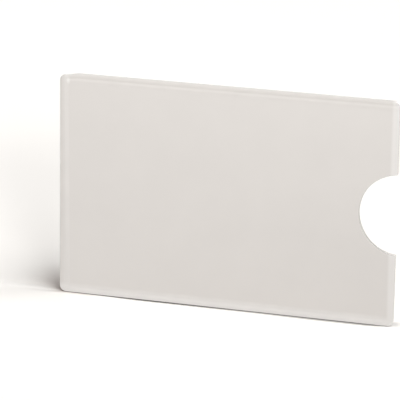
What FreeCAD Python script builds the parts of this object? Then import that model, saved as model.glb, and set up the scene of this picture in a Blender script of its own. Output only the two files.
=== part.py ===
"""Shielding card sleeve: two film walls welded on three edges, each backed by a metallised film.

Frame, in millimetres: X runs along the sleeve from the closed end to the open mouth, Y through its thickness
from the front wall to the rear wall, Z upwards. The sleeve stands on its long edge, and the origin is the
middle of that edge.
"""
import FreeCAD, Part
import math
import os

from FreeCAD import Vector

# The card that the pocket is made for, and its play in the pocket.
card_length = 85.6
card_height = 53.98
card_thickness = 0.76
card_height_play = 0.92
card_thickness_play = 0.08
mouth_overhang = 2.1

# Films.
panel_thickness = 0.2
shield_thickness = 0.05

# Welded edges: a flat fused flange, then a shoulder that slopes up to the face of the wall, rounded at its
# foot and its crown. The flange of the closed end is the wider one.
side_flange_width = 0.55
end_flange_width = 0.8
shoulder_width = 2.0
foot_radius = 0.3
crown_radius = 1.0
weld_press = 0.02

# Rounded corners of the outline.
end_corner_radius = 1.7
mouth_corner_radius = 2.4

# Half-round thumb notch through both walls, at mid-height of the mouth.
notch_radius = 10.8
notch_depth = 9.8

# Margins of the shielding film inside the welds and behind the mouth.
shield_weld_margin = 0.1
shield_mouth_margin = 1.9
shield_corner_radius = 1.0

# Length by which cutting tools pass the faces that they cut.
overrun = 1.0

# Sizes that follow from the card and the films.
side_seam_width = side_flange_width + shoulder_width
end_seam_width = end_flange_width + shoulder_width
pocket_height = card_height + card_height_play
pocket_gap = card_thickness + card_thickness_play
sleeve_length = end_seam_width + card_length + mouth_overhang
sleeve_height = pocket_height + 2 * side_seam_width
end_x = -sleeve_length / 2
mouth_x = sleeve_length / 2
pocket_x = end_x + end_seam_width
pocket_low_z = side_seam_width
pocket_high_z = pocket_low_z + pocket_height
middle_z = sleeve_height / 2

# Half thicknesses from the middle plane of the sleeve.
shield_inner_y = pocket_gap / 2
panel_inner_y = shield_inner_y + shield_thickness
panel_outer_y = panel_inner_y + panel_thickness
flange_outer_y = panel_thickness - weld_press

# Slope of the shoulder, from the tangent of half its angle: the straight run and the tangents of the two
# rounds add up to the shoulder's width.
shoulder_rise = panel_outer_y - flange_outer_y
round_excess = 2 * (foot_radius + crown_radius) - shoulder_rise
half_slope = (shoulder_width - math.sqrt(shoulder_width ** 2 - round_excess * shoulder_rise)) / round_excess
slope_angle = 2 * math.atan(half_slope)


def box_between(low, high):
    """A box from its lowest to its highest corner."""
    size = [top - bottom for bottom, top in zip(low, high)]
    return Part.makeBox(*size, Vector(*low))


def foot_point(flange_width, angle):
    """A point of the round at the shoulder's foot."""
    across = flange_width + foot_radius * math.sin(angle)
    return Vector(across, flange_outer_y + foot_radius * (1 - math.cos(angle)), 0)


def crown_point(flange_width, depth, angle):
    """A point of the round at the shoulder's crown, on the surface that lies a depth inside the outer one."""
    radius = crown_radius - depth
    across = flange_width + shoulder_width - radius * math.sin(angle)
    return Vector(across, panel_outer_y - crown_radius + radius * math.cos(angle), 0)


def crown_edge(flange_width, depth):
    """The round at the crown, from the slope to the flat face of the wall."""
    points = [crown_point(flange_width, depth, angle) for angle in (slope_angle, slope_angle / 2, 0)]
    return Part.Arc(*points).toShape()


def outer_edges(flange_width):
    """Outer line of the front half at a welded edge: flange, foot, slope and crown."""
    foot_points = [foot_point(flange_width, angle) for angle in (0, slope_angle / 2, slope_angle)]
    flange = Part.LineSegment(Vector(0, flange_outer_y, 0), foot_points[0])
    foot = Part.Arc(*foot_points)
    slope = Part.LineSegment(foot_points[-1], crown_point(flange_width, 0, slope_angle))
    return [flange.toShape(), foot.toShape(), slope.toShape(), crown_edge(flange_width, 0)]


def pocket_edges(flange_width):
    """Inner line of the front half at a welded edge, from the crotch where the walls part."""
    slope_end = crown_point(flange_width, panel_thickness, slope_angle)
    crotch = Vector(slope_end.x - slope_end.y / math.tan(slope_angle), 0, 0)
    slope = Part.LineSegment(crotch, slope_end)
    return [slope.toShape(), crown_edge(flange_width, panel_thickness)]


def closed_section(edges, span, far_edge_welded):
    """Section across the sleeve, from the edges of its front half at the near welded edge.

    The far edge is a mirror image of the near one, or is cut off square at the span.
    """
    face_start = edges[-1].Vertexes[-1].Point
    half = list(edges)
    if far_edge_welded:
        far = [edge.mirror(Vector(span / 2, 0, 0), Vector(1, 0, 0)) for edge in edges]
        face_end = Vector(span - face_start.x, face_start.y, 0)
        half += far
        tip = Vector(span - edges[0].Vertexes[0].X, edges[0].Vertexes[0].Y, 0)
    else:
        face_end = Vector(span, face_start.y, 0)
        tip = face_end
    half.append(Part.LineSegment(face_start, face_end).toShape())
    whole = half + [edge.mirror(Vector(0, 0, 0), Vector(0, 1, 0)) for edge in half]
    for end in (edges[0].Vertexes[0].Point, tip):
        if end.y > 0:
            whole.append(Part.LineSegment(end, Vector(end.x, -end.y, 0)).toShape())
    return Part.Face(Part.Wire(Part.__sortEdges__(whole)))


def welded_on_three_edges(edges_at, mouth_end_x):
    """Solid with welded edges along the top, the bottom and the closed end, up to a plane at the mouth."""
    length = mouth_end_x - end_x
    along = closed_section(edges_at(side_flange_width), sleeve_height, True)
    along.rotate(Vector(0, 0, 0), Vector(0, 1, 0), -90)
    along.translate(Vector(end_x, 0, 0))
    upright = closed_section(edges_at(end_flange_width), length, False)
    upright.translate(Vector(end_x, 0, 0))
    return along.extrude(Vector(length, 0, 0)).common(upright.extrude(Vector(0, 0, sleeve_height)))


def rounded_plate(low, high, radii):
    """Upright plate with rounded corners: radii of the pair on the closed end's side and the mouth's side."""
    plate = box_between(low, high)
    for corner_x, radius in ((low[0], radii[0]), (high[0], radii[1])):
        corner = [edge for edge in plate.Edges if all(
            abs(end.X - corner_x) < 1e-6 for end in edge.Vertexes) and edge.BoundBox.YLength > 1e-6
            and edge.BoundBox.ZLength < 1e-6]
        plate = plate.makeFillet(radius, corner)
    return plate


def film_shell():
    """Both walls and their fused edges in one body, with the pocket between them and the outline rounded."""
    outside = welded_on_three_edges(outer_edges, mouth_x)
    pocket = welded_on_three_edges(pocket_edges, mouth_x + overrun)
    outline = rounded_plate(
        (end_x, -panel_outer_y - overrun, 0),
        (mouth_x, panel_outer_y + overrun, sleeve_height),
        (end_corner_radius, mouth_corner_radius))
    return outside.cut(pocket).common(outline)


def thumb_notch():
    """Cutter of the half-round notch, right through the sleeve at the mouth."""
    centre = Vector(mouth_x + notch_radius - notch_depth, -panel_outer_y - overrun, middle_z)
    return Part.makeCylinder(notch_radius, 2 * (panel_outer_y + overrun), centre, Vector(0, 1, 0))


def wall_panel(shell, near_y, far_y):
    """Flat part of one wall, inside the three welds."""
    keep = box_between((pocket_x, near_y, pocket_low_z), (mouth_x, far_y, pocket_high_z))
    return shell.common(keep).cut(thumb_notch())


def weld_seam(shell, low_x, high_x, low_z, high_z):
    """One fused edge of the two walls, up to where their flat parts start."""
    return shell.common(box_between((low_x, -panel_outer_y, low_z), (high_x, panel_outer_y, high_z)))


def shield_film(near_y, far_y):
    """Shielding film that lies on the inner face of a wall, cut flush with the wall at the notch."""
    film = rounded_plate(
        (pocket_x + shield_weld_margin, near_y, pocket_low_z + shield_weld_margin),
        (mouth_x - shield_mouth_margin, far_y, pocket_high_z - shield_weld_margin),
        (shield_corner_radius, shield_corner_radius))
    return film.cut(thumb_notch())


def single_solid(shape):
    """The one solid in a shape, with its split faces joined."""
    solids = shape.removeSplitter().Solids
    if len(solids) != 1:
        raise ValueError(f"expected one solid, found {len(solids)}")
    return solids[0]


def main():
    shell = film_shell()
    pieces = {
        "front_panel": wall_panel(shell, -panel_outer_y, 0),
        "rear_panel": wall_panel(shell, 0, panel_outer_y),
        "front_shield_film": shield_film(-panel_inner_y, -shield_inner_y),
        "rear_shield_film": shield_film(shield_inner_y, panel_inner_y),
        "top_weld_seam": weld_seam(shell, pocket_x, mouth_x, pocket_high_z, sleeve_height),
        "bottom_weld_seam": weld_seam(shell, pocket_x, mouth_x, 0, pocket_low_z),
        "end_weld_seam": weld_seam(shell, end_x, pocket_x, 0, sleeve_height),
    }
    os.makedirs("parts", exist_ok=True)
    for name, shape in pieces.items():
        piece = single_solid(shape)
        piece.exportStep(f"parts/{name}.step")
        print(f"{name}: {piece.Volume:.3f} cubic mm, valid {piece.isValid()}")
    print(f"sleeve {sleeve_length:.2f} x {2 * panel_outer_y:.2f} x {sleeve_height:.2f} mm")


main()
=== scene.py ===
"""Looks of a shielding card sleeve: frosted film walls, fused edges and metallised shielding films.

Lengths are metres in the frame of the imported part: X runs from the closed end to the open mouth, Y from the
front wall to the rear wall, Z upwards, and the sleeve stands on its lower long edge at Z = 0.
"""

import math

import bpy
from bpy.props import FloatProperty, FloatVectorProperty, PointerProperty
from mathutils import Matrix, Vector


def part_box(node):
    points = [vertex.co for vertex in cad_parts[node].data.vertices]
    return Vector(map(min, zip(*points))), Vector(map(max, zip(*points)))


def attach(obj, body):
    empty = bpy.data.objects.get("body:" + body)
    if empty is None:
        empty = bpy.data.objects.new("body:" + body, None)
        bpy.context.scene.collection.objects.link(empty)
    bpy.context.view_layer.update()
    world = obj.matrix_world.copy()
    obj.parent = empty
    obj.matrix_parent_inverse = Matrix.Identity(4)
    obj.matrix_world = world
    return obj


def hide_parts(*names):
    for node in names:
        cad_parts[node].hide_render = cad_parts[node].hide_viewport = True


bl_info = {
    "name": "Card Sleeve",
    "version": (1, 0, 0),
    "blender": (4, 5, 0),
    "location": "3D View > Sidebar > Sleeve",
    "description": "Builds the films, fused edges and studio of a shielding card sleeve",
    "category": "Object",
}

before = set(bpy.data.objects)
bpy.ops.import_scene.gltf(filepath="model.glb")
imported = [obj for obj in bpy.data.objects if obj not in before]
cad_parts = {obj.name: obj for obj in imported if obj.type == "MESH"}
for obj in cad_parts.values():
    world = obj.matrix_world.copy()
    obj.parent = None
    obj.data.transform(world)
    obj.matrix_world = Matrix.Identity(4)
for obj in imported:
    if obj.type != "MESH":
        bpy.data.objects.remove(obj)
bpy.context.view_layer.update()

MM = 0.001
BODY = "root"

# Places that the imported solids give.
FRONT_LOW, FRONT_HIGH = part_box("front_panel")
END_LOW, END_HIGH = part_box("end_weld_seam")
END_X = END_LOW.x
MOUTH_X = FRONT_HIGH.x
SLEEVE_HEIGHT = END_HIGH.z
MIDDLE_Z = SLEEVE_HEIGHT / 2
OUTER_Y = -FRONT_LOW.y
INNER_Y = -FRONT_HIGH.y
FILM = OUTER_Y - INNER_Y
SIDE_SEAM = FRONT_LOW.z
END_SEAM = FRONT_LOW.x - END_X

# Faces and edges that lie this close to a place are taken to lie at it. The notch is a polygon, so it gets more.
NEAR = 0.002 * MM
NEAR_NOTCH = 0.04 * MM

# Points this close together count as one.
TOUCHING = 1e-5 * MM

# Steps along the curves of the welds: the round of the lip, each rise or fall behind it, the top edge before the
# corner, the corner, the closed end behind it, and the slope of the top edge down to the melted corner.
LIP_STEPS = 8
RELIEF_STEPS = 6
TOP_STEPS = 6
CORNER_STEPS = 12
END_STEPS = 3
SLOPE_STEPS = 10

# Steps of the rounded edges of the walls and shielding films, sides of the punch, and slices that let a film bow.
POCKET_CORNER_STEPS = 12
SHIELD_CORNER_STEPS = 8
BURR_STEPS = 2
PUNCH_SIDES = 192
SLICES_ALONG = 12
SLICES_UP = 28

# Faces that meet at less than this angle are shaded as one.
SMOOTH_ANGLE = math.radians(12)

# Where the film's tone starts and stops changing: distance from the mouth, height over the floor, half the width of
# the light band along the closed end, and depth of the painted shade on a die-cut edge. The clear tone of the bands
# is partly painted light: light passing through the bare film and, along the foot, light that the floor throws up.
MOUTH_BAND = (1.2 * MM, 2.2 * MM)
FOOT_BAND = (1.35 * MM, 2.85 * MM)
SEAM_BAND = (0.6 * MM, 1.1 * MM)
CUT_BAND = (0.03 * MM, 0.05 * MM)

# The painted shade along the lip of a weld starts this far below half the lip, and is full this far over half the cut
# edge.
LIP_BAND = (0.01 * MM, 0.03 * MM)

# The light band along the closed end: its distance from the cut edge, and how much of the backing still shows.
SEAM_BAND_FROM_END = 2.0 * MM
SEAM_BAND_BACKING = 0.6

# The painted shade in the groove before it: its distance from the cut edge, half its width, and how much of the cut
# edges' painted shade it shows at two heights, less below and more above.
GROOVE_FROM_END = 1.3 * MM
GROOVE_BAND = (0.75 * MM, 0.2 * MM)
GROOVE_HEIGHTS = (4.0 * MM, 16.0 * MM)
GROOVE_SHADE = (0.03, 0.13)

# The painted highlight at the raised pocket corner, where the light glints: its drop from the top, its size, and its
# width in heights.
GLINT_DROP = 2.0 * MM
GLINT_SPOT = (0.75 * MM, 0.05 * MM)
GLINT_NARROW = 0.6

# Values of a noise between which it is spread out.
NOISE_LOW, NOISE_HIGH = 0.3, 0.7

# Index of refraction of polypropylene.
POLYPROPYLENE_IOR = 1.49

# The floor's shade is a power of the occlusion by the sleeve: one for the contact line under it, which gets lighter
# between two places along X, and one for the soft shade behind the closed end.
OCCLUSION_SAMPLES = 16
CONTACT_PLACES = (-25.0 * MM, 15.0 * MM)
CONTACT_POWERS = (5.6, 3.2)
NEAR_SHADE_POWER = 4.7

# The contact line gets broader between two places along X, then finer along a length before the mouth and before the
# closed end, each to a share of its reach, and it fades to a light tone at the very ends.
CONTACT_SWELL, CONTACT_BROAD = (5.0 * MM, 30.0 * MM), 1.4
CONTACT_TO_MOUTH, CONTACT_AT_MOUTH = 7.0 * MM, 0.45
CONTACT_TO_END, CONTACT_AT_END = 38.0 * MM, 0.32
CONTACT_FADE = (2.0 * MM, 0.3 * MM)
CONTACT_FADED = 0.85

# The soft shade is left out ahead of the sleeve, by Y, and beside its walls, by the distance from the closed end.
AHEAD = (1.0 * MM, -2.4 * MM)
BESIDE = (-2.0 * MM, 14.0 * MM)

# Soft spots of shade on the floor: share of the length along X that counts, centre, start and end of the fade, and
# tone in the middle. They lie under the corner at the mouth, round the closed end, in line with the closed end, where
# the thin sleeve stands edge-on to the lamps, and far behind it.
SOFT_SPOTS = (
    (1.0, (MOUTH_X - 0.5 * MM, 1.6 * MM), (0.3 * MM, 3.2 * MM), 0.62),
    (1.0, (END_X - 2.0 * MM, 6.0 * MM), (4.0 * MM, 34.0 * MM), 0.947),
    (0.15, (END_X - 9.0 * MM, 0.8 * MM), (0.0, 3.2 * MM), 0.935),
    (1.0, (END_X - 34.0 * MM, 110.0 * MM), (10.0 * MM, 60.0 * MM), 0.968),
)

FLOOR_SIZE = 12.0

# Lamps in degrees: azimuth from the front towards the mouth, elevation, and for soft lights how broad they are.
SOFT_LIGHTS = {
    "side_light": (91.5, 23, 28),
    "high_light": (65, 54, 30),
    "key_light": (45, 30, 30),
    "rear_light": (180, 6, 20),
}
SPOTLIGHTS = {"spotlight": (30, 22), "fill_light": (-15, 12)}

# Spotlights: distance, aim from the middle of the sleeve, cone and size. Soft lights: where their objects are put.
SPOT_REACH = 1.2
SPOT_AIM = Vector((-0.04, 0, 0.28))
SPOT_CONE = math.radians(50)
SPOT_SIZE = 0.15
SOFT_LIGHT_REACH = 2.0

SENSOR_WIDTH = 36


def linear(hex_colour):
    """Scene-linear red, green and blue of an sRGB hex colour."""
    values = [int(hex_colour[i:i + 2], 16) / 255 for i in (0, 2, 4)]
    return [v / 12.92 if v <= 0.04045 else ((v + 0.055) / 1.055) ** 2.4 for v in values]


def length(name, description, default):
    """A length property in metres."""
    return FloatProperty(name=name, description=description, default=default, unit="LENGTH", precision=5)


def angle(name, description, degrees):
    """An angle property, given in degrees."""
    return FloatProperty(name=name, description=description, default=math.radians(degrees), subtype="ANGLE")


def strength(name, description, default):
    """A lamp's strength: at 1, a white card that faces it renders white."""
    return FloatProperty(name=name, description=description, default=default, min=0)


def colour(name, description, hex_colour):
    """A colour property, given as an sRGB hex value."""
    return FloatVectorProperty(
        name=name, description=description, default=linear(hex_colour), subtype="COLOR", min=0, max=1)


class SleeveSizes(bpy.types.PropertyGroup):
    """Sizes of the welded edges, the relaxed walls, the cut edges and the thumb notch."""

    lip: length("Lip", "Width of the round along the cut edge", 0.1 * MM)
    cut_half: length("Half cut edge", "Half the thickness of the cut edge", 0.12 * MM)
    lip_half: length("Half lip", "Half the thickness behind the round of the cut edge", 0.2 * MM)
    foot_cut_half: length("Half foot cut", "Half the thickness of the square lower cut edge", 0.21 * MM)
    foot_lip_half: length("Half foot lip", "Half the thickness behind the lower cut edge", 0.23 * MM)
    crest: length("Crest", "Distance of the weld bead's crest from the cut edge", 0.8 * MM)
    crest_half: length("Half crest", "Half the thickness of the weld bead", 0.235 * MM)
    valley: length("Valley", "Distance of the hollow behind the bead from the cut edge", 1.25 * MM)
    valley_half: length("Half valley", "Half the thickness in the hollow", 0.23 * MM)
    top_valley_half: length("Half top valley", "The same along the deeper upper edge", 0.212 * MM)
    side_step: length("Side step", "Distance from the cut edge to the top of the step, long edges", 2.05 * MM)
    end_step: length("End step", "Distance from the cut edge to the top of the step, closed end", 2.8 * MM)
    edge_half: length("Half edge", "Half the thickness of the empty sleeve where its walls start", 0.26 * MM)
    land: length("Land", "Strip of wall that stays with each weld", 0.15 * MM)
    outline_radius: length("Outline radius", "Rounding of the corners at the closed end", 1.7 * MM)
    pocket_radius: length("Pocket radius", "Rounding of the raised pocket corners", 0.3 * MM)
    mouth_radius: length("Mouth radius", "Rounding of the corners at the mouth", 1.7 * MM)
    corner_shrink: length("Corner shrink", "How far the melted upper corner draws back", 0.62 * MM)
    corner_reach: length("Corner reach", "Length of top edge that the melted corner draws back", 6.0 * MM)
    end_trim: length("End trim", "How far the closed end is trimmed in at its top, out of square", 0.55 * MM)
    shield_corner: length("Shield corner", "Rounding of the shielding film's corners", 1.0 * MM)
    notch_radius: length("Notch radius", "Radius of the half-round thumb notch", 10.8 * MM)
    notch_depth: length("Notch depth", "Depth of the thumb notch from the mouth", 9.8 * MM)
    burr: length("Edge break", "Rounding of the die-cut edges at the mouth and the notch", 0.03 * MM)


class SleeveColours(bpy.types.PropertyGroup):
    """Colours of the films and the floor."""

    # The clear tone is partly bare film and partly painted light: light passing through the film, and along the foot
    # light from the floor.
    clear_film_and_painted_light: colour("Clear film", "Film with nothing behind it", "E8E5E2")
    backed_film: colour("Backed film", "Film with the shielding film behind it", "DEDAD6")
    # Painted highlight: the lighter tone of the film at the raised pocket corner, where the light glints on it.
    corner_glint: colour("Strained film", "Film whitened by strain at the raised pocket corner", "EFEDEA")
    # Painted shade on the cut edges and in the groove along the closed end.
    cut_edge_shade: colour("Cut film", "Cut edges of the film", "B2AEAA")
    foil: colour("Foil", "Metallised side of the shielding film", "D2D0CC")
    floor: colour("Floor", "Studio floor as the lens sees it", "F7F4F0")
    floor_shade: colour("Floor shade", "Studio floor close behind the closed end", "9A857B")
    floor_bounce: colour("Floor bounce", "Studio floor as it lights the sleeve", "8A8580")


class SleeveStudio(bpy.types.PropertyGroup):
    """Camera, lamps and reach of the floor's shade."""

    azimuth: angle("Azimuth", "Turn of the camera round the sleeve, towards the mouth", 16.412)
    elevation: angle("Elevation", "Height of the camera over the horizon", 17.783)
    roll: angle("Roll", "Turn of the picture", 0.464)
    distance: length("Distance", "From the camera to the middle of the sleeve", 720.31 * MM)
    pan: length("Pan", "Sideways offset of the camera", -6.474 * MM)
    rise: length("Rise", "Upward offset of the camera", -0.365 * MM)
    lens: FloatProperty(
        name="Lens", description="Focal length on a 36 mm wide sensor", default=251.629, unit="CAMERA")
    side_light: strength("Side light", "Soft light beside the mouth", 1.0)
    high_light: strength("High light", "Broad light high at the right", 0.45)
    key_light: strength("Key light", "Broad light low at the right", 0.34)
    rear_light: strength("Rear light", "Low soft light on the rear wall", 0.6)
    spotlight: strength("Spotlight", "Spotlight at the right of the camera", 0.55)
    fill_light: strength("Fill light", "Spotlight at the left of the camera", 0.18)
    sky: FloatProperty(name="Sky", description="Strength of the white surroundings", default=0.05, min=0)
    # The contact line is a painted shadow in the floor's colour, and the near shade a painted shadow behind the
    # closed end.
    contact: length("Contact line", "Reach of the dark line where the sleeve stands", 1.55 * MM)
    nearness: length("Near shade", "Reach of the soft shade behind the closed end", 24.0 * MM)


def sizes():
    return bpy.context.scene.sleeve_sizes


def colours():
    return bpy.context.scene.sleeve_colours


def studio():
    return bpy.context.scene.sleeve_studio


def notch_centre_x():
    """Place along the sleeve of the middle of the notch's round."""
    return MOUTH_X + sizes().notch_radius - sizes().notch_depth


def add_node(tree, kind, inputs=(), **settings):
    """Adds a node, sets its settings, and fills or links its inputs by name or number."""
    node = tree.nodes.new(kind)
    for name, value in settings.items():
        setattr(node, name, value)
    for name, value in dict(inputs).items():
        if isinstance(value, bpy.types.NodeSocket):
            tree.links.new(value, node.inputs[name])
        else:
            node.inputs[name].default_value = value
    return node


def new_material(name):
    """An empty node material, and its tree."""
    material = bpy.data.materials.new(name)
    material.use_nodes = True
    material.node_tree.nodes.clear()
    return material, material.node_tree


def per_metre(millimetres):
    """Scale of a noise whose features are this large."""
    return 1 / (millimetres * MM)


def backing_and_painted_light(tree, axis, over_foot):
    """How much the film shows what lies behind it: less at the mouth, along the foot and along the closed end, where
    the clear tone is partly painted light.
    """
    before_mouth = add_node(tree, "ShaderNodeMapRange", {
        "Value": axis["X"], "From Min": MOUTH_X - MOUTH_BAND[0], "From Max": MOUTH_X - MOUTH_BAND[1]},
        interpolation_type="SMOOTHSTEP").outputs["Result"]
    from_seam = add_node(tree, "ShaderNodeMath", {
        0: axis["X"], 1: END_X + SEAM_BAND_FROM_END}, operation="SUBTRACT").outputs[0]
    off_seam = add_node(tree, "ShaderNodeMath", {0: from_seam}, operation="ABSOLUTE").outputs[0]
    past_seam = add_node(tree, "ShaderNodeMapRange", {
        "Value": off_seam, "From Min": SEAM_BAND[0], "From Max": SEAM_BAND[1], "To Min": SEAM_BAND_BACKING},
        interpolation_type="SMOOTHSTEP").outputs["Result"]
    inside = add_node(tree, "ShaderNodeMath", {
        0: before_mouth, 1: over_foot}, operation="MULTIPLY").outputs[0]
    return add_node(tree, "ShaderNodeMath", {0: inside, 1: past_seam}, operation="MULTIPLY").outputs[0]


def cut_shade_shown(tree, place, axis, over_foot):
    """How much painted shade shows on the cut edges: at the notch, the mouth and the welds' lips above the foot, and
    in the end's groove.
    """
    s = sizes()
    flat = add_node(tree, "ShaderNodeVectorMath", {
        0: place, 1: (1, 0, 1)}, operation="MULTIPLY").outputs["Vector"]
    from_notch = add_node(tree, "ShaderNodeVectorMath", {
        0: flat, 1: (notch_centre_x(), 0, MIDDLE_Z)}, operation="DISTANCE").outputs["Value"]
    at_notch = add_node(tree, "ShaderNodeMapRange", {
        "Value": from_notch, "From Min": s.notch_radius + CUT_BAND[1],
        "From Max": s.notch_radius + CUT_BAND[0]}).outputs["Result"]
    at_mouth = add_node(tree, "ShaderNodeMapRange", {
        "Value": axis["X"], "From Min": MOUTH_X - CUT_BAND[1],
        "From Max": MOUTH_X - CUT_BAND[0]}).outputs["Result"]
    from_middle = add_node(tree, "ShaderNodeMath", {0: axis["Y"]}, operation="ABSOLUTE").outputs[0]
    at_lip = add_node(tree, "ShaderNodeMapRange", {
        "Value": from_middle, "From Min": s.lip_half - LIP_BAND[0],
        "From Max": s.cut_half + LIP_BAND[1]}).outputs["Result"]
    die_cut = add_node(tree, "ShaderNodeMath", {0: at_notch, 1: at_mouth}, operation="MAXIMUM").outputs[0]
    shaded_lip_above_foot = add_node(tree, "ShaderNodeMath", {0: at_lip, 1: over_foot}, operation="MULTIPLY").outputs[0]
    edges = add_node(tree, "ShaderNodeMath", {0: die_cut, 1: shaded_lip_above_foot}, operation="MAXIMUM").outputs[0]
    # Painted shade in the groove along the closed end, lighter towards the foot.
    from_groove = add_node(tree, "ShaderNodeMath", {
        0: axis["X"], 1: END_X + GROOVE_FROM_END}, operation="SUBTRACT").outputs[0]
    off_groove = add_node(tree, "ShaderNodeMath", {0: from_groove}, operation="ABSOLUTE").outputs[0]
    groove_shade_depth = add_node(tree, "ShaderNodeMapRange", {
        "Value": axis["Z"], "From Min": GROOVE_HEIGHTS[0], "From Max": GROOVE_HEIGHTS[1],
        "To Min": GROOVE_SHADE[0], "To Max": GROOVE_SHADE[1]}, interpolation_type="SMOOTHSTEP").outputs["Result"]
    groove = add_node(tree, "ShaderNodeMapRange", {
        "Value": off_groove, "From Min": GROOVE_BAND[0], "From Max": GROOVE_BAND[1], "To Max": groove_shade_depth},
        interpolation_type="SMOOTHSTEP").outputs["Result"]
    return add_node(tree, "ShaderNodeMath", {0: edges, 1: groove}, operation="MAXIMUM").outputs[0]


def film_tone(tree, place):
    """Colour of the film: lighter where less lies behind it, with painted light, a painted highlight and painted
    shade.

    The clear tone is partly painted light passing through the film and, along the foot, thrown up by the floor. The
    lighter spot at one corner is a painted highlight where the light glints, and the grey where cut is painted shade.
    """
    axis = add_node(tree, "ShaderNodeSeparateXYZ", {"Vector": place}).outputs
    # Along the foot the film takes the clear tone and loses the grey of its lip: painted light that the floor throws
    # up.
    over_foot = add_node(tree, "ShaderNodeMapRange", {
        "Value": axis["Z"], "From Min": FOOT_BAND[0], "From Max": FOOT_BAND[1]},
        interpolation_type="SMOOTHSTEP").outputs["Result"]
    face = add_node(tree, "ShaderNodeMix", {
        "Factor": backing_and_painted_light(tree, axis, over_foot), "A": (*colours().clear_film_and_painted_light, 1),
        "B": (*colours().backed_film, 1)}, data_type="RGBA").outputs["Result"]
    # A painted highlight at the raised pocket corner, where the light glints.
    tall = add_node(tree, "ShaderNodeVectorMath", {
        0: place, 1: (1, 0, GLINT_NARROW)}, operation="MULTIPLY").outputs["Vector"]
    corner = (END_X + END_SEAM, 0, GLINT_NARROW * (SLEEVE_HEIGHT - GLINT_DROP))
    from_corner = add_node(tree, "ShaderNodeVectorMath", {
        0: tall, 1: corner}, operation="DISTANCE").outputs["Value"]
    glint_share = add_node(tree, "ShaderNodeMapRange", {
        "Value": from_corner, "From Min": GLINT_SPOT[0], "From Max": GLINT_SPOT[1]},
        interpolation_type="SMOOTHSTEP").outputs["Result"]
    film = add_node(tree, "ShaderNodeMix", {
        "Factor": glint_share, "A": face, "B": (*colours().corner_glint, 1)}, data_type="RGBA").outputs["Result"]
    return add_node(tree, "ShaderNodeMix", {
        "Factor": cut_shade_shown(tree, place, axis, over_foot), "A": film,
        "B": (*colours().cut_edge_shade, 1)}, data_type="RGBA").outputs["Result"]


def frosted_film():
    """Cast polypropylene film with a fine frosted face.

    It scatters light softly, shows faint clouds and draw lines along its length, and looks a little greyer
    where the shielding film lies against its back than along the bare margins, whose lighter tone is partly painted
    light.
    """
    material, tree = new_material("frosted_polypropylene")
    place = add_node(tree, "ShaderNodeTexCoord").outputs["Object"]
    cloud = add_node(tree, "ShaderNodeTexNoise", {
        "Vector": place, "Scale": per_metre(14), "Detail": 3.0, "Roughness": 0.55}).outputs["Fac"]
    drawn = add_node(tree, "ShaderNodeMapping", {
        "Vector": place, "Scale": (per_metre(90), per_metre(2.2), per_metre(2.2))}).outputs["Vector"]
    lines = add_node(tree, "ShaderNodeTexNoise", {
        "Vector": drawn, "Scale": 1.0, "Detail": 2.0}).outputs["Fac"]
    # The real frost is under a tenth of a millimetre; it is drawn coarser here so that it shows.
    frost = add_node(tree, "ShaderNodeTexNoise", {
        "Vector": place, "Scale": per_metre(0.4), "Detail": 2.0, "Roughness": 0.6}).outputs["Fac"]
    shade = add_node(tree, "ShaderNodeMapRange", {
        "Value": cloud, "From Min": NOISE_LOW, "From Max": NOISE_HIGH,
        "To Min": 0.988, "To Max": 1.012}).outputs["Result"]
    base = add_node(tree, "ShaderNodeVectorMath", {
        0: film_tone(tree, place), "Scale": shade}, operation="SCALE").outputs["Vector"]
    height = add_node(tree, "ShaderNodeMath", {
        0: lines, 1: 0.6, 2: frost}, operation="MULTIPLY_ADD").outputs[0]
    bump = add_node(tree, "ShaderNodeBump", {
        "Strength": 0.25, "Distance": 0.02 * MM, "Height": height}).outputs["Normal"]
    rough = add_node(tree, "ShaderNodeMapRange", {
        "Value": frost, "From Min": NOISE_LOW, "From Max": NOISE_HIGH,
        "To Min": 0.46, "To Max": 0.56}).outputs["Result"]
    shader = add_node(tree, "ShaderNodeBsdfPrincipled", {
        "Base Color": base, "Roughness": rough, "IOR": POLYPROPYLENE_IOR, "Normal": bump})
    add_node(tree, "ShaderNodeOutputMaterial", {"Surface": shader.outputs["BSDF"]})
    return material


def fused_film():
    """Polypropylene melted and pressed by the welding bar.

    It is smoother than the frosted face, with soft flow marks.
    """
    material, tree = new_material("fused_polypropylene")
    place = add_node(tree, "ShaderNodeTexCoord").outputs["Object"]
    cloud = add_node(tree, "ShaderNodeTexNoise", {
        "Vector": place, "Scale": per_metre(4), "Detail": 3.0, "Roughness": 0.55}).outputs["Fac"]
    frost = add_node(tree, "ShaderNodeTexNoise", {
        "Vector": place, "Scale": per_metre(0.5), "Detail": 2.0, "Roughness": 0.5}).outputs["Fac"]
    shade = add_node(tree, "ShaderNodeMapRange", {
        "Value": cloud, "From Min": NOISE_LOW, "From Max": NOISE_HIGH,
        "To Min": 0.985, "To Max": 1.015}).outputs["Result"]
    base = add_node(tree, "ShaderNodeVectorMath", {
        0: film_tone(tree, place), "Scale": shade}, operation="SCALE").outputs["Vector"]
    bump = add_node(tree, "ShaderNodeBump", {
        "Strength": 0.25, "Distance": 0.02 * MM, "Height": frost}).outputs["Normal"]
    rough = add_node(tree, "ShaderNodeMapRange", {
        "Value": cloud, "From Min": NOISE_LOW, "From Max": NOISE_HIGH,
        "To Min": 0.34, "To Max": 0.44}).outputs["Result"]
    shader = add_node(tree, "ShaderNodeBsdfPrincipled", {
        "Base Color": base, "Roughness": rough, "IOR": POLYPROPYLENE_IOR, "Normal": bump})
    add_node(tree, "ShaderNodeOutputMaterial", {"Surface": shader.outputs["BSDF"]})
    return material


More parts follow.
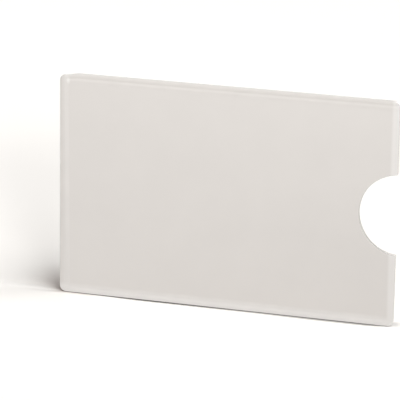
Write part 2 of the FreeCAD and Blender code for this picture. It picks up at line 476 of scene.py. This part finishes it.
def metallised_film():
    """Vapour-metallised polyester film: a bright satin foil with fine crinkles from handling."""
    material, tree = new_material("metallised_film")
    place = add_node(tree, "ShaderNodeTexCoord").outputs["Object"]
    crinkle = add_node(tree, "ShaderNodeTexVoronoi", {
        "Vector": place, "Scale": per_metre(3.5)}, feature="DISTANCE_TO_EDGE").outputs["Distance"]
    grain = add_node(tree, "ShaderNodeTexNoise", {
        "Vector": place, "Scale": per_metre(0.6), "Detail": 2.0}).outputs["Fac"]
    rough = add_node(tree, "ShaderNodeMapRange", {
        "Value": grain, "From Min": NOISE_LOW, "From Max": NOISE_HIGH,
        "To Min": 0.42, "To Max": 0.54}).outputs["Result"]
    bump = add_node(tree, "ShaderNodeBump", {
        "Strength": 0.3, "Distance": 0.02 * MM, "Height": crinkle}).outputs["Normal"]
    shader = add_node(tree, "ShaderNodeBsdfPrincipled", {
        "Base Color": (*colours().foil, 1), "Metallic": 0.3, "Roughness": rough, "Normal": bump})
    add_node(tree, "ShaderNodeOutputMaterial", {"Surface": shader.outputs["BSDF"]})
    return material


def contact_line(tree, axis):
    """Painted contact shadow: a dark line where the sleeve stands on the floor, broadest before the mouth and fine at
    its ends.
    """
    full = studio().contact
    swell = add_node(tree, "ShaderNodeMapRange", {
        "Value": axis["X"], "From Min": CONTACT_SWELL[0], "From Max": CONTACT_SWELL[1],
        "To Min": full, "To Max": CONTACT_BROAD * full}, interpolation_type="SMOOTHSTEP").outputs["Result"]
    to_mouth = add_node(tree, "ShaderNodeMapRange", {
        "Value": axis["X"], "From Min": MOUTH_X - CONTACT_TO_MOUTH, "From Max": MOUTH_X,
        "To Min": swell, "To Max": CONTACT_AT_MOUTH * full}, interpolation_type="SMOOTHSTEP").outputs["Result"]
    to_end = add_node(tree, "ShaderNodeMapRange", {
        "Value": axis["X"], "From Min": END_X + CONTACT_TO_END, "From Max": END_X,
        "To Min": CONTACT_BROAD * full, "To Max": CONTACT_AT_END * full},
        interpolation_type="SMOOTHSTEP").outputs["Result"]
    reach = add_node(tree, "ShaderNodeMath", {0: to_mouth, 1: to_end}, operation="MINIMUM").outputs[0]
    under = add_node(tree, "ShaderNodeAmbientOcclusion", {
        "Distance": reach}, samples=OCCLUSION_SAMPLES).outputs["AO"]
    power = add_node(tree, "ShaderNodeMapRange", {
        "Value": axis["X"], "From Min": CONTACT_PLACES[0], "From Max": CONTACT_PLACES[1],
        "To Min": CONTACT_POWERS[0], "To Max": CONTACT_POWERS[1]}, interpolation_type="SMOOTHSTEP").outputs["Result"]
    line = add_node(tree, "ShaderNodeMath", {0: under, 1: power}, operation="POWER").outputs[0]
    sideways = add_node(tree, "ShaderNodeMath", {0: axis["X"]}, operation="ABSOLUTE").outputs[0]
    ends = add_node(tree, "ShaderNodeMapRange", {
        "Value": sideways, "From Min": MOUTH_X - CONTACT_FADE[0], "From Max": MOUTH_X - CONTACT_FADE[1],
        "To Max": CONTACT_FADED}, interpolation_type="SMOOTHSTEP").outputs["Result"]
    return add_node(tree, "ShaderNodeMath", {0: line, 1: ends}, operation="MAXIMUM").outputs[0]


def open_floor(tree, axis):
    """How open the floor is: less in the soft shade behind the closed end."""
    around = add_node(tree, "ShaderNodeAmbientOcclusion", {
        "Distance": studio().nearness}, samples=OCCLUSION_SAMPLES).outputs["AO"]
    clear = add_node(tree, "ShaderNodeMath", {0: around, 1: NEAR_SHADE_POWER}, operation="POWER").outputs[0]
    ahead = add_node(tree, "ShaderNodeMapRange", {
        "Value": axis["Y"], "From Min": AHEAD[0], "From Max": AHEAD[1]},
        interpolation_type="SMOOTHSTEP").outputs["Result"]
    beside = add_node(tree, "ShaderNodeMapRange", {
        "Value": axis["X"], "From Min": END_X + BESIDE[0], "From Max": END_X + BESIDE[1]},
        interpolation_type="SMOOTHSTEP").outputs["Result"]
    away = add_node(tree, "ShaderNodeMath", {0: ahead, 1: beside}, operation="MAXIMUM").outputs[0]
    return add_node(tree, "ShaderNodeMath", {0: clear, 1: away}, operation="MAXIMUM").outputs[0]


def studio_floor():
    """Matt paper floor that the lens sees white, and that throws less light back at the sleeve.

    The contact shadow under the sleeve and the soft shadows round its foot are painted into the floor's colour.
    """
    material, tree = new_material("studio_floor")
    path = add_node(tree, "ShaderNodeLightPath").outputs
    seen = add_node(tree, "ShaderNodeMath", {
        0: path["Is Camera Ray"], 1: path["Is Glossy Ray"]}, operation="MAXIMUM").outputs[0]
    place = add_node(tree, "ShaderNodeTexCoord").outputs["Object"]
    axis = add_node(tree, "ShaderNodeSeparateXYZ", {"Vector": place}).outputs
    lit = contact_line(tree, axis)
    for share, (x, y), (start, end), tone in SOFT_SPOTS:
        drawn_in = add_node(tree, "ShaderNodeVectorMath", {
            0: place, 1: (share, 1, 0)}, operation="MULTIPLY").outputs["Vector"]
        off = add_node(tree, "ShaderNodeVectorMath", {
            0: drawn_in, 1: (share * x, y, 0)}, operation="DISTANCE").outputs["Value"]
        spot = add_node(tree, "ShaderNodeMapRange", {
            "Value": off, "From Min": start, "From Max": end, "To Min": tone},
            interpolation_type="SMOOTHSTEP").outputs["Result"]
        lit = add_node(tree, "ShaderNodeMath", {0: lit, 1: spot}, operation="MULTIPLY").outputs[0]
    sheet = add_node(tree, "ShaderNodeMix", {
        "Factor": open_floor(tree, axis), "A": (*colours().floor_shade, 1), "B": (*colours().floor, 1)},
        data_type="RGBA").outputs["Result"]
    paper = add_node(tree, "ShaderNodeVectorMath", {
        0: sheet, "Scale": lit}, operation="SCALE").outputs["Vector"]
    tone = add_node(tree, "ShaderNodeMix", {
        "Factor": seen, "A": (*colours().floor_bounce, 1), "B": paper}, data_type="RGBA").outputs["Result"]
    shader = add_node(tree, "ShaderNodeBsdfPrincipled", {
        "Base Color": tone, "Roughness": 0.9, "Specular IOR Level": 0.0})
    add_node(tree, "ShaderNodeOutputMaterial", {"Surface": shader.outputs["BSDF"]})
    return material


def eased(share):
    """A share, held between 0 and 1, that starts and ends gently."""
    share = min(max(share, 0), 1)
    return share * share * (3 - 2 * share)


def outer_line(step, width, cut_half, lip_half, valley_half):
    """Outer line of a welded edge as (distance from the cut edge, y): round lip, bead, hollow and step."""
    s = sizes()
    points = []
    for i in range(LIP_STEPS + 1):
        turn = math.pi / 2 * i / LIP_STEPS
        points.append((s.lip * (1 - math.cos(turn)), cut_half + (lip_half - cut_half) * math.sin(turn)))
    levels = [(s.lip, lip_half), (s.crest, s.crest_half), (s.valley, valley_half), (step, s.edge_half)]
    for (start, low), (end, high) in zip(levels, levels[1:]):
        for i in range(1, RELIEF_STEPS + 1):
            share = i / RELIEF_STEPS
            rise = (1 - math.cos(math.pi * share)) / 2
            points.append((start + (end - start) * share, low + (high - low) * rise))
    points.append((width, s.edge_half))
    return points


def section(step, width, *relief):
    """Section of a welded edge, once round, as (share of its width, y)."""
    s = sizes()
    outer = outer_line(step, width, *relief)
    inner = [(width, s.edge_half - FILM), (step, s.edge_half - FILM)]
    front = [(distance, -y) for distance, y in outer + inner]
    rear = list(reversed(outer + inner))
    return [(distance / width, y) for distance, y in front + [(s.valley, 0)] + rear]


def trimmed(rim):
    """A point of the outline after the closed end is trimmed out of square, further in towards its top."""
    share = min(max((END_X + END_SEAM - rim.x) / END_SEAM, 0), 1)
    return Vector((rim.x + sizes().end_trim * share * rim.y / SLEEVE_HEIGHT, rim.y))


def placed_section(rim, heel, blend, *relief):
    """The section as points from the rim, on the outline, to the heel, where the wall starts.

    Blend goes from 0 for the welds of the long edges, which have a relief of their own, to 1 for that of the
    closed end.
    """
    s = sizes()
    side = section(s.side_step, SIDE_SEAM + s.land, *relief)
    end = section(s.end_step, END_SEAM + s.land, s.cut_half, s.lip_half, s.valley_half)
    points = []
    for (side_share, side_y), (end_share, end_y) in zip(side, end):
        place = trimmed(rim).lerp(heel, side_share + (end_share - side_share) * blend)
        points.append(Vector((place.x, side_y + (end_y - side_y) * blend, place.y)))
    return points


def drawn_back(x, shrink):
    """How far the melted corner draws the top edge down at a place along it."""
    s = sizes()
    return shrink * eased((END_X + s.corner_reach - x) / (s.corner_reach - s.outline_radius))


def corner_stations(shrink, *relief):
    """Rim, heel, blend and relief along the upper corner, from the top edge round to the closed end.

    Shrink is how far the melted corner draws the top edge down.
    """
    s = sizes()
    heel_centre = Vector((
        END_X + END_SEAM + s.land + s.pocket_radius, SLEEVE_HEIGHT - SIDE_SEAM - s.land - s.pocket_radius))
    rim_centre = Vector((END_X + s.outline_radius, SLEEVE_HEIGHT - s.outline_radius))
    top_run = rim_centre.x - heel_centre.x
    end_run = heel_centre.y - rim_centre.y
    rims = [Vector((heel_centre.x + top_run * i / TOP_STEPS, SLEEVE_HEIGHT)) for i in range(TOP_STEPS)]
    for i in range(CORNER_STEPS + 1):
        turn = math.pi / 2 * (1 + i / CORNER_STEPS)
        rims.append(rim_centre + s.outline_radius * Vector((math.cos(turn), math.sin(turn))))
    rims += [Vector((END_X, rim_centre.y + end_run * (i + 1) / END_STEPS)) for i in range(END_STEPS)]
    run = [0.0]
    for before, after in zip(rims, rims[1:]):
        run.append(run[-1] + (after - before).length)
    stations = []
    for rim, along in zip(rims, run):
        share = along / run[-1]
        turn = math.pi / 2 * (1 + share)
        heel = heel_centre + s.pocket_radius * Vector((math.cos(turn), math.sin(turn)))
        level = max((rim.y - heel.y) / (SLEEVE_HEIGHT - heel.y), 0)
        sunk = Vector((rim.x, rim.y - level * drawn_back(rim.x, shrink)))
        stations.append((sunk, heel, eased(share), *relief))
    return stations


def upside_down(station):
    """The same station on the lower half of the sleeve."""
    rim, heel, *shape = station
    return Vector((rim.x, SLEEVE_HEIGHT - rim.y)), Vector((heel.x, SLEEVE_HEIGHT - heel.y)), *shape


def mouth_section(rim, heel, *shape):
    """The section at the mouth, where the die rounds the corner off: each line ends on the corner's arc."""
    radius = sizes().mouth_radius
    points = placed_section(rim, heel, *shape)
    for point in points:
        inside = max(radius - abs(rim.y - point.z), 0)
        point.x -= radius - math.sqrt(radius ** 2 - inside ** 2)
    return points


def deselect_all():
    bpy.ops.object.select_all(action="DESELECT")


def select_only(piece):
    """Makes a piece the only selected object, and the active one."""
    deselect_all()
    piece.select_set(True)
    bpy.context.view_layer.objects.active = piece


def lofted(name, sections):
    """A solid drawn through sections: a filled ring, extruded and set section by section."""
    count = len(sections[0])
    deselect_all()
    bpy.ops.mesh.primitive_circle_add(vertices=count, fill_type="NGON", radius=1.0)
    piece = bpy.context.object
    piece.name = name
    piece.data.name = name
    for vertex, point in zip(piece.data.vertices, sections[0]):
        vertex.co = point
    bpy.ops.object.mode_set(mode="EDIT")
    for points in sections[1:]:
        bpy.ops.mesh.extrude_region_move()
        bpy.ops.object.mode_set(mode="OBJECT")
        fresh = [v for v in piece.data.vertices if v.select]
        if len(fresh) != count:
            raise RuntimeError(f"{name}: the extruded section has {len(fresh)} points and not {count}")
        for vertex, point in zip(fresh, points):
            vertex.co = point
        bpy.ops.object.mode_set(mode="EDIT")
    bpy.ops.mesh.select_all(action="SELECT")
    bpy.ops.mesh.normals_make_consistent(inside=False)
    bpy.ops.mesh.select_all(action="DESELECT")
    bpy.ops.mesh.select_face_by_sides(number=count, type="EQUAL", extend=False)
    bpy.ops.mesh.quads_convert_to_tris()
    bpy.ops.object.mode_set(mode="OBJECT")
    return piece


def box_piece(name, low, high):
    """A block between two corners, with its place in its mesh."""
    deselect_all()
    bpy.ops.mesh.primitive_cube_add(size=1.0, location=(low + high) / 2, scale=high - low)
    bpy.ops.object.transform_apply(location=True, rotation=True, scale=True)
    piece = bpy.context.object
    piece.name = name
    piece.data.name = name
    return piece


def bevel_edges(piece, wanted, width, segments):
    """Rounds the edges whose two ends pass a test."""
    select_only(piece)
    bpy.ops.object.mode_set(mode="EDIT")
    bpy.ops.mesh.select_mode(type="EDGE")
    bpy.ops.mesh.select_all(action="DESELECT")
    bpy.ops.object.mode_set(mode="OBJECT")
    points = piece.data.vertices
    for edge in piece.data.edges:
        edge.select = wanted(points[edge.vertices[0]].co, points[edge.vertices[1]].co)
    bpy.ops.object.mode_set(mode="EDIT")
    bpy.ops.mesh.bevel(offset=width, segments=segments, affect="EDGES", clamp_overlap=False)
    bpy.ops.object.mode_set(mode="OBJECT")


def punch_notch(piece):
    """Cuts the thumb notch out of a film with a round punch."""
    deselect_all()
    bpy.ops.mesh.primitive_cylinder_add(
        vertices=PUNCH_SIDES, radius=sizes().notch_radius, depth=8 * OUTER_Y,
        location=(notch_centre_x(), 0, MIDDLE_Z), rotation=(math.pi / 2, 0, 0))
    bpy.ops.object.transform_apply(location=True, rotation=True, scale=True)
    punch = bpy.context.object
    select_only(piece)
    modifier = piece.modifiers.new("notch", "BOOLEAN")
    modifier.operation = "DIFFERENCE"
    modifier.solver = "EXACT"
    modifier.object = punch
    bpy.ops.object.modifier_apply(modifier=modifier.name)
    bpy.data.objects.remove(punch, do_unlink=True)


def slice_up(piece, axis, places):
    """Cuts new edges across a piece at places along an axis, so that it can be curved."""
    select_only(piece)
    bpy.ops.object.mode_set(mode="EDIT")
    for place in places:
        bpy.ops.mesh.select_all(action="SELECT")
        bpy.ops.mesh.bisect(plane_co=axis * place, plane_no=axis, threshold=TOUCHING)
    bpy.ops.object.mode_set(mode="OBJECT")


def relax(piece):
    """Lets a flat film down to the lie of the empty sleeve: closed along the welds, parting at the mouth."""
    s = sizes()
    heel_x = END_X + END_SEAM + s.land
    heel_z = SIDE_SEAM + s.land
    notch_x = MOUTH_X - s.notch_depth
    along_run = MOUTH_X - heel_x
    up_run = 2 * (MIDDLE_Z - heel_z)
    slice_up(piece, Vector((1, 0, 0)), [heel_x + along_run * i / SLICES_ALONG for i in range(1, SLICES_ALONG)])
    slice_up(piece, Vector((0, 0, 1)), [heel_z + up_run * i / SLICES_UP for i in range(1, SLICES_UP)])
    drop = OUTER_Y - s.edge_half
    for vertex in piece.data.vertices:
        place = vertex.co
        along = (place.x - heel_x) / (notch_x - heel_x)
        arch = 1 - ((place.z - MIDDLE_Z) / (MIDDLE_Z - heel_z)) ** 2
        place.y -= math.copysign(drop * (1 - along * arch), place.y)


def finish_piece(piece, material, node):
    """Smooths a piece, gives it its material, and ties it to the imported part."""
    select_only(piece)
    bpy.ops.object.shade_smooth_by_angle(angle=SMOOTH_ANGLE)
    piece.data.materials.clear()
    piece.data.materials.append(material)
    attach(piece, BODY)
    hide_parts(node)


def on_die_cut(a, b):
    """True for the long edges of the die cut at the mouth and round the notch."""
    if abs(a.y - b.y) > NEAR:
        return False
    centre = Vector((notch_centre_x(), MIDDLE_Z))
    radius = sizes().notch_radius
    on_mouth = all(abs(p.x - MOUTH_X) < NEAR for p in (a, b))
    on_notch = all(abs((Vector((p.x, p.z)) - centre).length - radius) < NEAR_NOTCH for p in (a, b))
    return on_mouth or on_notch


def on_pocket_corner(a, b):
    """True for the edges through a wall at the raised pocket corners."""
    heel_x = FRONT_LOW.x + sizes().land
    return all(abs(p.x - heel_x) < NEAR for p in (a, b)) and abs(a.z - b.z) < NEAR


def through_film(a, b):
    """True for the edges that run straight through a film."""
    return abs(a.x - b.x) < NEAR and abs(a.z - b.z) < NEAR


class SLEEVE_OT_walls(bpy.types.Operator):
    """Makes the front and rear film walls with their half-round thumb notch"""

    bl_idname = "card_sleeve.walls"
    bl_label = "Film Walls"

    def execute(self, context):
        s = sizes()
        material = frosted_film()
        for name, node, near, far in (
                ("front_wall", "front_panel", -OUTER_Y, -INNER_Y),
                ("rear_wall", "rear_panel", INNER_Y, OUTER_Y)):
            low = Vector((FRONT_LOW.x + s.land, near, FRONT_LOW.z + s.land))
            high = Vector((MOUTH_X, far, FRONT_HIGH.z - s.land))
            wall = box_piece(name, low, high)
            bevel_edges(wall, on_pocket_corner, s.pocket_radius, POCKET_CORNER_STEPS)
            punch_notch(wall)
            bevel_edges(wall, on_die_cut, s.burr, BURR_STEPS)
            relax(wall)
            finish_piece(wall, material, node)
        return {"FINISHED"}


class SLEEVE_OT_welds(bpy.types.Operator):
    """Makes the three fused edges, with their bead and the raised pocket corners at the closed end"""

    bl_idname = "card_sleeve.welds"
    bl_label = "Fused Edges"

    def execute(self, context):
        s = sizes()
        material = fused_film()
        corner = corner_stations(s.corner_shrink, s.cut_half, s.lip_half, s.top_valley_half)
        lower_corner = [upside_down(station) for station in reversed(
            corner_stations(0, s.foot_cut_half, s.foot_lip_half, s.valley_half))]
        round_the_end = [placed_section(*station) for station in corner + lower_corner]
        along_top = [
            self.mouth_end(SLEEVE_HEIGHT, *corner[0]), *self.slope_down(*corner[0]), round_the_end[0]]
        along_bottom = [round_the_end[-1], self.mouth_end(0, *lower_corner[-1])]
        for name, sections in (
                ("top_weld", along_top), ("end_weld", round_the_end), ("bottom_weld", along_bottom)):
            weld = lofted(name, sections)
            finish_piece(weld, material, f"{name}_seam")
        return {"FINISHED"}

    def mouth_end(self, level, rim, heel, *shape):
        """The section at the mouth of the long edge at a level, from the station at its other end."""
        return mouth_section(Vector((MOUTH_X, level)), Vector((MOUTH_X, heel.y)), *shape)

    def slope_down(self, rim, heel, *shape):
        """Sections along the top edge where it slopes down to the corner's first station."""
        s = sizes()
        start = END_X + s.corner_reach
        sections = []
        for i in range(SLOPE_STEPS):
            x = start + (rim.x - start) * i / SLOPE_STEPS
            place = Vector((x, SLEEVE_HEIGHT - drawn_back(x, s.corner_shrink)))
            sections.append(placed_section(place, Vector((x, heel.y)), *shape))
        return sections


class SLEEVE_OT_shields(bpy.types.Operator):
    """Makes the two metallised shielding films that lie against the walls"""

    bl_idname = "card_sleeve.shields"
    bl_label = "Shielding Films"

    def execute(self, context):
        s = sizes()
        material = metallised_film()
        inset = Vector((s.land, 0, s.land))
        for name, node in (("front_shield", "front_shield_film"), ("rear_shield", "rear_shield_film")):
            low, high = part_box(node)
            film = box_piece(name, low + inset, high - inset)
            bevel_edges(film, through_film, s.shield_corner, SHIELD_CORNER_STEPS)
            punch_notch(film)
            relax(film)
            finish_piece(film, material, node)
        return {"FINISHED"}


class SLEEVE_OT_stage(bpy.types.Operator):
    """Sets up the floor, the surroundings, the lamps and the camera"""

    bl_idname = "card_sleeve.stage"
    bl_label = "Studio"

    def execute(self, context):
        scene = context.scene
        scene.view_settings.view_transform = "Standard"
        self.lay_floor()
        self.light_surroundings(scene)
        middle = Vector((0, 0, MIDDLE_Z))
        for name, direction in SOFT_LIGHTS.items():
            self.add_soft_light(name, *direction, getattr(studio(), name))
        for name, direction in SPOTLIGHTS.items():
            self.add_spotlight(name, middle, *direction, getattr(studio(), name))
        self.add_camera(scene, middle)
        return {"FINISHED"}

    def lay_floor(self):
        deselect_all()
        bpy.ops.mesh.primitive_plane_add(size=FLOOR_SIZE)
        floor = bpy.context.object
        floor.name = "studio_floor"
        floor.data.materials.append(studio_floor())

    def light_surroundings(self, scene):
        """Surroundings that the lens, gloss and clear parts see white, and that light the sleeve only a little."""
        world = bpy.data.worlds.new("white_surroundings")
        world.use_nodes = True
        tree = world.node_tree
        tree.nodes.clear()
        path = add_node(tree, "ShaderNodeLightPath").outputs
        seen = add_node(tree, "ShaderNodeMath", {
            0: path["Is Camera Ray"], 1: path["Is Glossy Ray"]}, operation="MAXIMUM").outputs[0]
        seen = add_node(tree, "ShaderNodeMath", {
            0: seen, 1: path["Is Transmission Ray"]}, operation="MAXIMUM").outputs[0]
        bright = add_node(tree, "ShaderNodeMapRange", {
            "Value": seen, "To Min": studio().sky, "To Max": 1.0}).outputs["Result"]
        sky = add_node(tree, "ShaderNodeBackground", {"Color": (1, 1, 1, 1), "Strength": bright})
        add_node(tree, "ShaderNodeOutputWorld", {"Surface": sky.outputs["Background"]})
        scene.world = world

    def towards(self, azimuth, elevation):
        """Direction from the sleeve to a lamp, from two angles in degrees."""
        turn, rise = math.radians(azimuth), math.radians(elevation)
        return Vector((math.sin(turn) * math.cos(rise), -math.cos(turn) * math.cos(rise), math.sin(rise)))

    def add_lamp(self, name, kind, place, direction):
        deselect_all()
        bpy.ops.object.light_add(type=kind, location=place)
        lamp = bpy.context.object
        lamp.name = name
        lamp.rotation_euler = direction.to_track_quat("-Z", "Y").to_euler()
        return lamp.data

    def add_soft_light(self, name, azimuth, elevation, spread, power):
        """A broad light from far away."""
        direction = -self.towards(azimuth, elevation)
        lamp = self.add_lamp(name, "SUN", -SOFT_LIGHT_REACH * direction, direction)
        lamp.angle = math.radians(spread)
        lamp.energy = power * math.pi

    def add_spotlight(self, name, middle, azimuth, elevation, power):
        """A soft spotlight aimed a little over the sleeve, so that the face is lit less towards its foot."""
        place = middle + SPOT_REACH * self.towards(azimuth, elevation)
        lamp = self.add_lamp(name, "SPOT", place, middle + SPOT_AIM - place)
        lamp.spot_size = SPOT_CONE
        lamp.spot_blend = 1.0
        lamp.shadow_soft_size = SPOT_SIZE
        lamp.energy = power * 4 * math.pi ** 2 * SPOT_REACH ** 2

    def add_camera(self, scene, middle):
        st = studio()
        forward = Vector((
            -math.sin(st.azimuth) * math.cos(st.elevation), math.cos(st.azimuth) * math.cos(st.elevation),
            -math.sin(st.elevation)))
        level = Vector((math.cos(st.azimuth), math.sin(st.azimuth), 0))
        upright = level.cross(forward)
        right = math.cos(st.roll) * level + math.sin(st.roll) * upright
        up = math.cos(st.roll) * upright - math.sin(st.roll) * level
        eye = middle - forward * st.distance + right * st.pan + up * st.rise
        deselect_all()
        bpy.ops.object.camera_add()
        camera = bpy.context.object
        camera.name = "photo_camera"
        camera.data.sensor_width = SENSOR_WIDTH
        camera.data.lens = st.lens
        camera.matrix_world = Matrix.Translation(eye) @ Matrix((right, up, -forward)).transposed().to_4x4()
        scene.camera = camera


class SLEEVE_PT_panel(bpy.types.Panel):
    """Sizes, colours and build steps of the card sleeve"""

    bl_idname = "SLEEVE_PT_panel"
    bl_label = "Card Sleeve"
    bl_space_type = "VIEW_3D"
    bl_region_type = "UI"
    bl_category = "Sleeve"

    def draw(self, context):
        for operator in OPERATORS:
            self.layout.operator(operator.bl_idname)
        for group in (context.scene.sleeve_sizes, context.scene.sleeve_colours, context.scene.sleeve_studio):
            box = self.layout.box()
            for name in group.bl_rna.properties.keys():
                if name not in ("rna_type", "name"):
                    box.prop(group, name)


GROUPS = {"sleeve_sizes": SleeveSizes, "sleeve_colours": SleeveColours, "sleeve_studio": SleeveStudio}
OPERATORS = (SLEEVE_OT_walls, SLEEVE_OT_welds, SLEEVE_OT_shields, SLEEVE_OT_stage)
CLASSES = (*GROUPS.values(), *OPERATORS, SLEEVE_PT_panel)


def register():
    for cls in CLASSES:
        bpy.utils.register_class(cls)
    for name, group in GROUPS.items():
        setattr(bpy.types.Scene, name, PointerProperty(type=group))


def unregister():
    for name in GROUPS:
        delattr(bpy.types.Scene, name)
    for cls in reversed(CLASSES):
        bpy.utils.unregister_class(cls)


def main():
    register()
    bpy.ops.card_sleeve.walls()
    bpy.ops.card_sleeve.welds()
    bpy.ops.card_sleeve.shields()
    bpy.ops.card_sleeve.stage()


if __name__ == "__main__":
    main()
